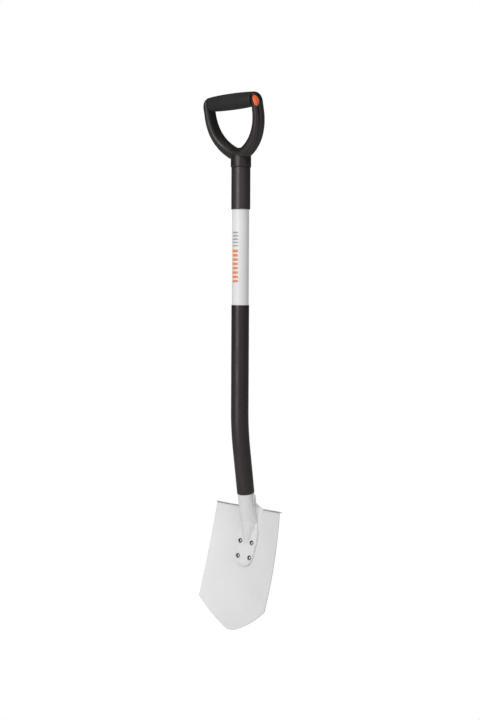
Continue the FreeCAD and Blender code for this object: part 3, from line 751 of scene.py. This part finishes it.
def makeRivet(name, x, down):
    seat = bladeBack(x, down) - rivet["seat"]
    rear = bladeBack(x, down) + rivet["rear"]
    profile = [(seat - rivet["dome"], rivet["domeTip"])]
    for step in range(1, rivet["domeSteps"] + 1):
        turn = math.radians(90 * step / rivet["domeSteps"])
        profile.append((seat - rivet["dome"] * math.cos(turn), rivet["head"] * math.sin(turn)))
    under = seat + rivet["sunk"]
    profile += [(under, rivet["head"]), (under, rivet["shank"]), (rear, rivet["shank"])]
    profile += [(rear + back, radius) for back, radius in rivet["tail"]]
    rings = []
    for back, radius in profile:
        ring = []
        for number in range(rivet["points"]):
            turn = math.tau * number / rivet["points"]
            aside, below = radius * math.cos(turn), radius * math.sin(turn)
            ring.append(onBlade(x + aside, down + below, back))
        rings.append(ring)
    piece = sweep(name, rings)
    smooth(piece, 45)
    return piece


# the tread edge is rolled over into a bead on each side of the neck
bead = {
    "radius": 1.25,
    "inner": 30.5,            # where it stops beside the neck
    "past": {-1: 1.2, 1: -0.3},    # how far its outer end stands out past the side
    "innerEnd": ((0.0, 0.5), (0.4, 0.85), (1.4, 1.0)),    # along it, and share of its radius
    "outerEnd": ((1.2, 1.0), (0.4, 0.82), (0.0, 0.45)),
    "steps": 30,
    "points": 24,
    "down": 1.7,
    "sunk": 0.2,
}


def makeBead(name, side):
    first, last = bead["inner"], bladeFrame["halfTread"] + bead["past"][side]
    stations = [(first + along, share) for along, share in bead["innerEnd"]]
    ends = [(last - along, share) for along, share in bead["outerEnd"]]
    start = stations[-1][0]
    for step in range(1, bead["steps"] + 1):
        stations.append((blendValues(start, ends[0][0], step / bead["steps"]), 1.0))
    rings = []
    for x, share in stations + ends[1:]:
        ring = []
        radius = bead["radius"] * share
        middle = bladeBack(min(x, bladeFrame["halfTread"]), 0) - bead["sunk"]
        for number in range(bead["points"]):
            turn = math.tau * number / bead["points"]
            down = bead["down"] + radius * math.cos(turn)
            ring.append(onBlade(side * x, down, middle + radius * math.sin(turn)))
        rings.append(ring)
    piece = sweep(name, rings)
    smooth(piece, 45)
    return piece


# the pressed sheet's fillet between the tube's side and the blade
wing = {
    "top": -24.0,             # above the tread edge, along the blade
    "end": 48.0,
    "steps": 42,
    "points": 12,
    "reach": 12.5,            # how far the fillet runs out over the blade
    "rim": 2.0,
    "fillet": 13.0,           # height of the concave corner above the tread edge
    "clear": 17.35,           # the tube's radius and a hair's gap
    "axis": -12.9,            # the tube's axis in front of the blade's plane, near the neck
    "rimBack": 2.5,
    "sinkFrom": 22,
    "settle": 1.5,
    "hollow": 0.4,
    "sheet": 1.9,
    "rearIn": 0.5,
}


def wingSection(down, side):
    axis = wing["axis"] + shaftSlope() * (down - flare["crestDown"])
    spread = clamped((down + wing["fillet"]) / wing["fillet"])
    corner = 1 - math.sqrt(1 - spread ** 2)
    clear = wing["clear"]
    outer = clear + blendValues(wing["rim"], wing["reach"], corner)
    flat = bladeBack(outer, max(0.0, down)) + 0.05
    settled = easeBetween(-wing["fillet"], 0, down) ** wing["settle"]
    far = blendValues(axis + wing["rimBack"], flat, settled)
    sunk = easeBetween(wing["sinkFrom"], wing["end"], down)
    near = blendValues(min(axis - 0.5, far - 0.3), far + 0.2, sunk)
    front, rear = [], []
    for step in range(wing["points"] + 1):
        share = step / wing["points"]
        rest = 1 - share
        bend = 2 * share * rest
        x = rest ** 2 * clear + bend * (clear + wing["hollow"]) + share * share * outer
        back = rest ** 2 * near + bend * far + share * share * far
        front.append((x, back))
        rear.append((x - wing["rearIn"] * rest, back + wing["sheet"]))
    return [onBlade(side * x, down, back) for x, back in front + rear[::-1]]


def makeWing(name, side):
    steps = wing["steps"]
    downs = [blendValues(wing["top"], wing["end"], step / steps) for step in range(steps + 1)]
    piece = sweep(name, [wingSection(down, side) for down in downs])
    smooth(piece, 50)
    return piece


def newFinish(name, colour, rough, metallic=0.0, gloss=0.5, coat=0.0):
    finish = bpy.data.materials.new(name)
    finish.use_nodes = True
    shader = finish.node_tree.nodes["Principled BSDF"]
    shader.inputs["Base Color"].default_value = (*colour, 1)
    shader.inputs["Roughness"].default_value = rough
    shader.inputs["Metallic"].default_value = metallic
    shader.inputs["Specular IOR Level"].default_value = gloss
    shader.inputs["Coat Weight"].default_value = coat
    return finish


def addNode(finish, kind, **values):
    node = finish.node_tree.nodes.new(kind)
    for key, value in values.items():
        if key in node.inputs:
            node.inputs[key].default_value = value
        else:
            setattr(node, key, value)
    return node


def link(finish, start, end):
    finish.node_tree.links.new(start, end)


def pointsOf(finish):
    spot = finish.node_tree.nodes.get("spot")
    return (spot or addNode(finish, "ShaderNodeTexCoord", name="spot")).outputs["Object"]


def addPattern(finish, scale, detail=3.0, rough=0.55, stretch=None, warp=0.0):
    noise = addNode(finish, "ShaderNodeTexNoise")
    noise.inputs["Scale"].default_value = scale
    noise.inputs["Detail"].default_value = detail
    noise.inputs["Roughness"].default_value = rough
    noise.inputs["Distortion"].default_value = warp
    source = pointsOf(finish)
    if stretch:
        mapping = addNode(finish, "ShaderNodeMapping")
        mapping.inputs["Scale"].default_value = stretch
        link(finish, source, mapping.inputs["Vector"])
        source = mapping.outputs["Vector"]
    link(finish, source, noise.inputs["Vector"])
    return noise.outputs["Fac"]


def remap(finish, value, low, high, toLow, toHigh, smoothStep=False):
    node = addNode(finish, "ShaderNodeMapRange")
    node.interpolation_type = "SMOOTHSTEP" if smoothStep else "LINEAR"
    limits = {"From Min": low, "From Max": high, "To Min": toLow, "To Max": toHigh}
    for socket, number in limits.items():
        node.inputs[socket].default_value = number
    link(finish, value, node.inputs["Value"])
    return node.outputs["Result"]


def cloudy(finish, pattern, low, high, first, second):
    # blends from one colour to the other where the pattern runs from low to high
    return mixColours(finish, remap(finish, pattern, low, high, 0, 1), first, second)


def specks(finish, pattern, low, high, most):
    return remap(finish, pattern, low, high, 0, most, True)


def mixColours(finish, share, first, second):
    node = addNode(finish, "ShaderNodeMix")
    node.data_type = "RGBA"
    for number, colour in ((6, first), (7, second)):
        if isinstance(colour, tuple):
            node.inputs[number].default_value = (*colour, 1)
        else:
            link(finish, colour, node.inputs[number])
    link(finish, share, node.inputs[0])
    return node.outputs[2]


def joinValues(finish, operation, first, second):
    node = addNode(finish, "ShaderNodeMath")
    node.operation = operation
    for number, value in ((0, first), (1, second)):
        if isinstance(value, (int, float)):
            node.inputs[number].default_value = value
        else:
            link(finish, value, node.inputs[number])
    return node.outputs[0]


def addBump(finish, height, distance, strength=1.0, after=None):
    bump = addNode(finish, "ShaderNodeBump")
    bump.inputs["Distance"].default_value = distance
    bump.inputs["Strength"].default_value = strength
    link(finish, height, bump.inputs["Height"])
    if after:
        link(finish, after, bump.inputs["Normal"])
    return bump.outputs["Normal"]


def finishWith(finish, colour=None, rough=None, normal=None):
    shader = finish.node_tree.nodes["Principled BSDF"]
    for socket, value in (("Base Color", colour), ("Roughness", rough), ("Normal", normal)):
        if value is not None:
            link(finish, value, shader.inputs[socket])
    return finish


# a mask that rises on convex edges: real chips on the enamel, and on the black plastic greyer
# edges that are partly a painted highlight
def convexEdgeMask(finish, low, high):
    shape = addNode(finish, "ShaderNodeNewGeometry")
    return remap(finish, shape.outputs["Pointiness"], low, high, 0, 1, True)


def toned(colour, tone):
    return tuple(value * tone for value in colour)


enamel = {
    "colour": (0.725, 0.726, 0.725),
    "shade": (0.68, 0.681, 0.68),
    "scuffed": (0.42, 0.42, 0.41),
    "steel": (0.3, 0.29, 0.28),
    "rough": 0.36,
    "gloss": 0.45,
    "scratchStretch": (5, 5, 0.5),
    "peelHeight": 0.00006,    # m, as all bump heights
    "scratchHeight": 0.00008,
}


def paintedSteel(name, tone=1.0):
    # sprayed and baked enamel: a fine orange peel, a few scuffs, thinner on the edges
    colour, rough = toned(enamel["colour"], tone), enamel["rough"]
    finish = newFinish(name, colour, rough, gloss=enamel["gloss"])
    cloud = addPattern(finish, 9, 4, 0.6)
    tint = cloudy(finish, cloud, 0.3, 0.7, toned(enamel["shade"], tone), colour)
    scratches = addPattern(finish, 60, 5, 0.6, stretch=enamel["scratchStretch"], warp=0.4)
    marks = specks(finish, scratches, 0.70, 0.76, 0.35)
    tint = mixColours(finish, marks, tint, enamel["scuffed"])
    flaked = specks(finish, addPattern(finish, 160, 3), 0.5, 0.62, 0.55)
    chips = joinValues(finish, "MULTIPLY", convexEdgeMask(finish, 0.56, 0.66), flaked)
    tint = mixColours(finish, chips, tint, enamel["steel"])
    shine = remap(finish, addPattern(finish, 45, 4), 0.3, 0.7, rough - 0.06, rough + 0.08)
    peel = addBump(finish, addPattern(finish, 520, 2, 0.4), enamel["peelHeight"], 0.5)
    skin = addBump(finish, scratches, enamel["scratchHeight"], 0.25, peel)
    return finishWith(finish, tint, shine, skin)


# the tread bead's dark greys are painted shade for the shadow line along the rolled tread edge
tread = {
    "colour": (0.34, 0.34, 0.335),
    "paintedShadeMid": (0.4, 0.4, 0.395),
    "paintedShadeDark": (0.2, 0.2, 0.198),
    "bare": (0.12, 0.118, 0.115),
    "rough": 0.42,
    "grit": 0.00008,
}


def paintedShadeTread(name):
    # the tread's rolled edge, coloured a mottled dark grey with darker specks: painted shade
    # standing in for the shadow line along the rolled edge
    finish = newFinish(name, tread["colour"], tread["rough"])
    cloud = addPattern(finish, 120, 5, 0.65)
    tint = cloudy(finish, cloud, 0.35, 0.65, tread["paintedShadeDark"], tread["paintedShadeMid"])
    # darker specks within the painted shade
    bare = specks(finish, addPattern(finish, 380, 4, 0.6), 0.6, 0.68, 0.7)
    tint = mixColours(finish, bare, tint, tread["bare"])
    shine = remap(finish, cloud, 0.3, 0.7, 0.32, 0.55)
    grit = addBump(finish, addPattern(finish, 700, 3), tread["grit"], 0.5)
    return finishWith(finish, tint, shine, grit)


mould = {
    "colour": (0.0135, 0.0108, 0.0102),
    "shade": (0.009, 0.0072, 0.0068),
    # rubbed: greyer black for rub streaks, and on edges and ridges, where it is partly a painted
    # highlight
    "rubbed": (0.032, 0.028, 0.0265),
    "gloss": 0.75,
    "glint": (1, 0.9, 0.87, 1),
    "lengthwise": (6, 6, 0.4),
    "sparkHeight": 0.00005,
    "streakHeight": 0.0001,
}


def mouldedPlastic(name, tone, rough, grain=1400, lengthwise=False):
    # spark-grained black polypropylene, a little shinier and greyer where hands rub it; the greyer
    # edges and ridges are partly rub wear and partly a painted highlight
    colour = toned(mould["colour"], tone)
    finish = newFinish(name, colour, rough, gloss=mould["gloss"])
    shader = finish.node_tree.nodes["Principled BSDF"]
    shader.inputs["Specular Tint"].default_value = mould["glint"]
    cloud = addPattern(finish, 14, 4, 0.6)
    tint = cloudy(finish, cloud, 0.32, 0.68, toned(mould["shade"], tone), colour)
    # greyer on convex edges and ridges: partly rub wear, partly a painted highlight along the
    # ridges
    edges = remap(finish, convexEdgeMask(finish, 0.53, 0.62), 0, 1, 0, 0.5)
    tint = mixColours(finish, edges, tint, mould["rubbed"])
    stretch = mould["lengthwise"] if lengthwise else None
    streaks = addPattern(finish, 55, 4, 0.55, stretch=stretch, warp=0.3)
    tint = mixColours(finish, specks(finish, streaks, 0.62, 0.75, 0.3), tint, mould["rubbed"])
    shine = remap(finish, addPattern(finish, 30, 5), 0.3, 0.7, rough - 0.07, rough + 0.1)
    sparks = addBump(finish, addPattern(finish, grain, 2, 0.5), mould["sparkHeight"], 0.55)
    skin = addBump(finish, streaks, mould["streakHeight"], 0.12, sparks)
    return finishWith(finish, tint, shine, skin)


rubber = {
    "colour": (0.0145, 0.013, 0.0132),
    "dark": (0.0105, 0.0095, 0.0098),
    "pale": (0.0175, 0.0158, 0.0155),
    "dust": (0.09, 0.085, 0.08),
    "rough": 0.62,
    "gloss": 0.4,
    "sheen": 0.04,
    "pebbleHeight": 0.0001,
}


def softRubber(name):
    # the over-moulded bar: matt, warm, with a fine pebble and a few palm-polished patches
    finish = newFinish(name, rubber["colour"], rubber["rough"], gloss=rubber["gloss"])
    shader = finish.node_tree.nodes["Principled BSDF"]
    shader.inputs["Sheen Weight"].default_value = rubber["sheen"]
    cloud = addPattern(finish, 18, 4, 0.6)
    tint = cloudy(finish, cloud, 0.32, 0.68, rubber["dark"], rubber["pale"])
    dust = specks(finish, addPattern(finish, 240, 4, 0.7), 0.66, 0.74, 0.12)
    tint = mixColours(finish, dust, tint, rubber["dust"])
    pebble = addNode(finish, "ShaderNodeTexVoronoi", Scale=950.0, Randomness=0.9)
    link(finish, pointsOf(finish), pebble.inputs["Vector"])
    shine = remap(finish, cloud, 0.3, 0.7, 0.54, 0.7)
    skin = addBump(finish, pebble.outputs["Distance"], rubber["pebbleHeight"], 0.6)
    return finishWith(finish, tint, shine, skin)


orange = {
    "colour": (0.8, 0.13, 0.022),
    "deep": (0.66, 0.095, 0.015),
    "bright": (0.84, 0.145, 0.026),
    "rubbed": (0.5, 0.09, 0.03),
    "rough": 0.28,
    "coat": 0.2,
    "ripple": 0.00004,
}


def orangePlastic(name):
    # glossy moulding with faint flow clouds and small scuffs
    finish = newFinish(name, orange["colour"], orange["rough"], coat=orange["coat"])
    cloud = addPattern(finish, 60, 4)
    tint = cloudy(finish, cloud, 0.3, 0.7, orange["deep"], orange["bright"])
    rub = specks(finish, addPattern(finish, 420, 4, 0.6), 0.64, 0.74, 0.35)
    tint = mixColours(finish, rub, tint, orange["rubbed"])
    shine = remap(finish, addPattern(finish, 150, 4), 0.3, 0.7, 0.22, 0.38)
    ripple = addBump(finish, addPattern(finish, 900, 2), orange["ripple"], 0.5)
    return finishWith(finish, tint, shine, ripple)


zinc = {
    "rivet": (0.42, 0.41, 0.4),
    "screw": (0.5, 0.49, 0.47),
    "rust": (0.09, 0.06, 0.04),
    "dents": 0.0002,
}


def platedSteel(name, colour, rough):
    # zinc-plated wire with hammer marks from the setting tool
    finish = newFinish(name, colour, rough, metallic=1.0)
    cloud = addPattern(finish, 220, 4, 0.6)
    tint = cloudy(finish, cloud, 0.35, 0.65, toned(colour, 0.6), colour)
    spots = specks(finish, addPattern(finish, 900, 3), 0.62, 0.7, 0.5)
    tint = mixColours(finish, spots, tint, zinc["rust"])
    shine = remap(finish, addPattern(finish, 500, 3), 0.3, 0.7, rough - 0.08, rough + 0.14)
    dents = addNode(finish, "ShaderNodeTexVoronoi", Scale=420.0)
    link(finish, pointsOf(finish), dents.inputs["Vector"])
    skin = addBump(finish, dents.outputs["Distance"], zinc["dents"], 0.35)
    return finishWith(finish, tint, shine, skin)


label = {
    "half": 7.0,              # half the printed strip's width
    "film": (0.71, 0.711, 0.71),
    "grey": (0.33, 0.33, 0.34),
    "orange": (0.76, 0.23, 0.10),
    "runs": (                 # colour, count, start, pitch and width of the bars
        ("orange", 8, 2.0, 8.4, 5.2),
        ("grey", 5, 72.0, 6.4, 3.0),
    ),
    "rough": 0.3,
    "ripple": 0.00005,
}


def printedFilm(name):
    # clear film with plain colour bars, slightly silvered at its edges
    finish = newFinish(name, label["film"], label["rough"])
    low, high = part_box("shaft_label")
    apart = addNode(finish, "ShaderNodeSeparateXYZ")
    link(finish, pointsOf(finish), apart.inputs["Vector"])
    rise = remap(finish, apart.outputs["Z"], low[2], high[2], 0, 1)
    length = (high[2] - low[2]) / mm
    ramp = addNode(finish, "ShaderNodeValToRGB")
    ramp.color_ramp.interpolation = "CONSTANT"
    stops = ramp.color_ramp.elements
    stops.remove(stops[1])
    stops[0].color = (*label["film"], 1)
    for colour, count, start, pitch, width in label["runs"]:
        for number in range(count):
            edge = start + number * pitch
            stops.new(edge / length).color = (*label[colour], 1)
            stops.new((edge + width) / length).color = (*label["film"], 1)
    link(finish, rise, ramp.inputs["Fac"])
    aside = joinValues(finish, "ABSOLUTE", apart.outputs["X"], 0)
    inside = remap(finish, aside, (label["half"] - 0.3) * mm, label["half"] * mm, 1, 0)
    tint = mixColours(finish, inside, label["film"], ramp.outputs["Color"])
    worn = specks(finish, addPattern(finish, 600, 4, 0.7), 0.62, 0.72, 0.5)
    tint = mixColours(finish, worn, tint, label["film"])
    shine = remap(finish, addPattern(finish, 80, 3), 0.3, 0.7, 0.25, 0.4)
    ripple = addBump(finish, addPattern(finish, 500, 2), label["ripple"], 0.3)
    return finishWith(finish, tint, shine, ripple)


def wear(piece, finish):
    piece.data.materials.clear()
    piece.data.materials.append(finish)


def wearNode(nodeName, finish):
    part = nodes[nodeName]
    for held in part.material_slots:
        held.material = finish
    if not part.material_slots:
        part.data.materials.append(finish)


placeCamera()
makeFloor()
makeRoom()
addLamps()
print("studio done")

gripFrame = makeGripFrame()
settle(gripFrame, "grip_plastic", "grip_frame")
barCover = makeBarCover()
settle(barCover, "cover_rubber", "grip_bar_cover")
inlays = [makeInlay("inlayLeft", -1), makeInlay("inlayRight", 1)]
settle(inlays[0], "inlay_plastic", "grip_inlay_left")
settle(inlays[1], "inlay_plastic", "grip_inlay_right")
print("grip done")

neckBush = makeNeckBush()
settle(neckBush, "bush_plastic", "neck_bush")
lowerSleeve = makeSleeve()
settle(lowerSleeve, "sleeve_plastic", "lower_sleeve")
shaftTube = makeShaftTube()
settle(shaftTube, "tube_paint", "shaft_tube")
print("shaft done")

rivets = []
for place, down in zip(("Upper", "Lower"), rivet["rows"]):
    for hand, side in (("Left", -1), ("Right", 1)):
        rivets.append(makeRivet("rivet" + place + hand, side * rivet["half"], down))
        settle(rivets[-1], "rivet_steel", "blade_rivets")
beads = [makeBead("treadBeadLeft", -1), makeBead("treadBeadRight", 1)]
wings = [makeWing("neckWingLeft", -1), makeWing("neckWingRight", 1)]
for piece in beads + wings:
    settle(piece, "blade_paint")
print("blade fittings done")

wear(gripFrame, mouldedPlastic("gripPlastic", 1.0, 0.41))
wear(barCover, softRubber("barRubber"))
# the neck bush is the same black plastic as the sleeve, raised to a tone of 2.2 instead of 0.95:
# painted light for the brighter light falling on the bush
wear(neckBush, mouldedPlastic("bushPlasticPaintedLight", 2.2, 0.43, 1100, lengthwise=True))
wear(lowerSleeve, mouldedPlastic("sleevePlastic", 0.95, 0.43, 1100, lengthwise=True))
wear(shaftTube, paintedSteel("tubeEnamel", 0.99))
bladeEnamel = paintedSteel("bladeEnamel", 0.97)
groups = (
    (inlays, orangePlastic("inlayOrange")),
    (rivets, platedSteel("rivetSteel", zinc["rivet"], 0.2)),
    # the beads carry painted shade along the tread edge
    (beads, paintedShadeTread("treadPaintedShade")),
    (wings, bladeEnamel),
)
for pieces, finish in groups:
    for piece in pieces:
        wear(piece, finish)
wearNode("blade", bladeEnamel)
wearNode("shaft_label", printedFilm("labelFilm"))
wearNode("grip_screw", platedSteel("screwZinc", zinc["screw"], 0.28))
wearNode("shaft_plug", mouldedPlastic("plugPlastic", 1.6, 0.5))
print("finishes done")
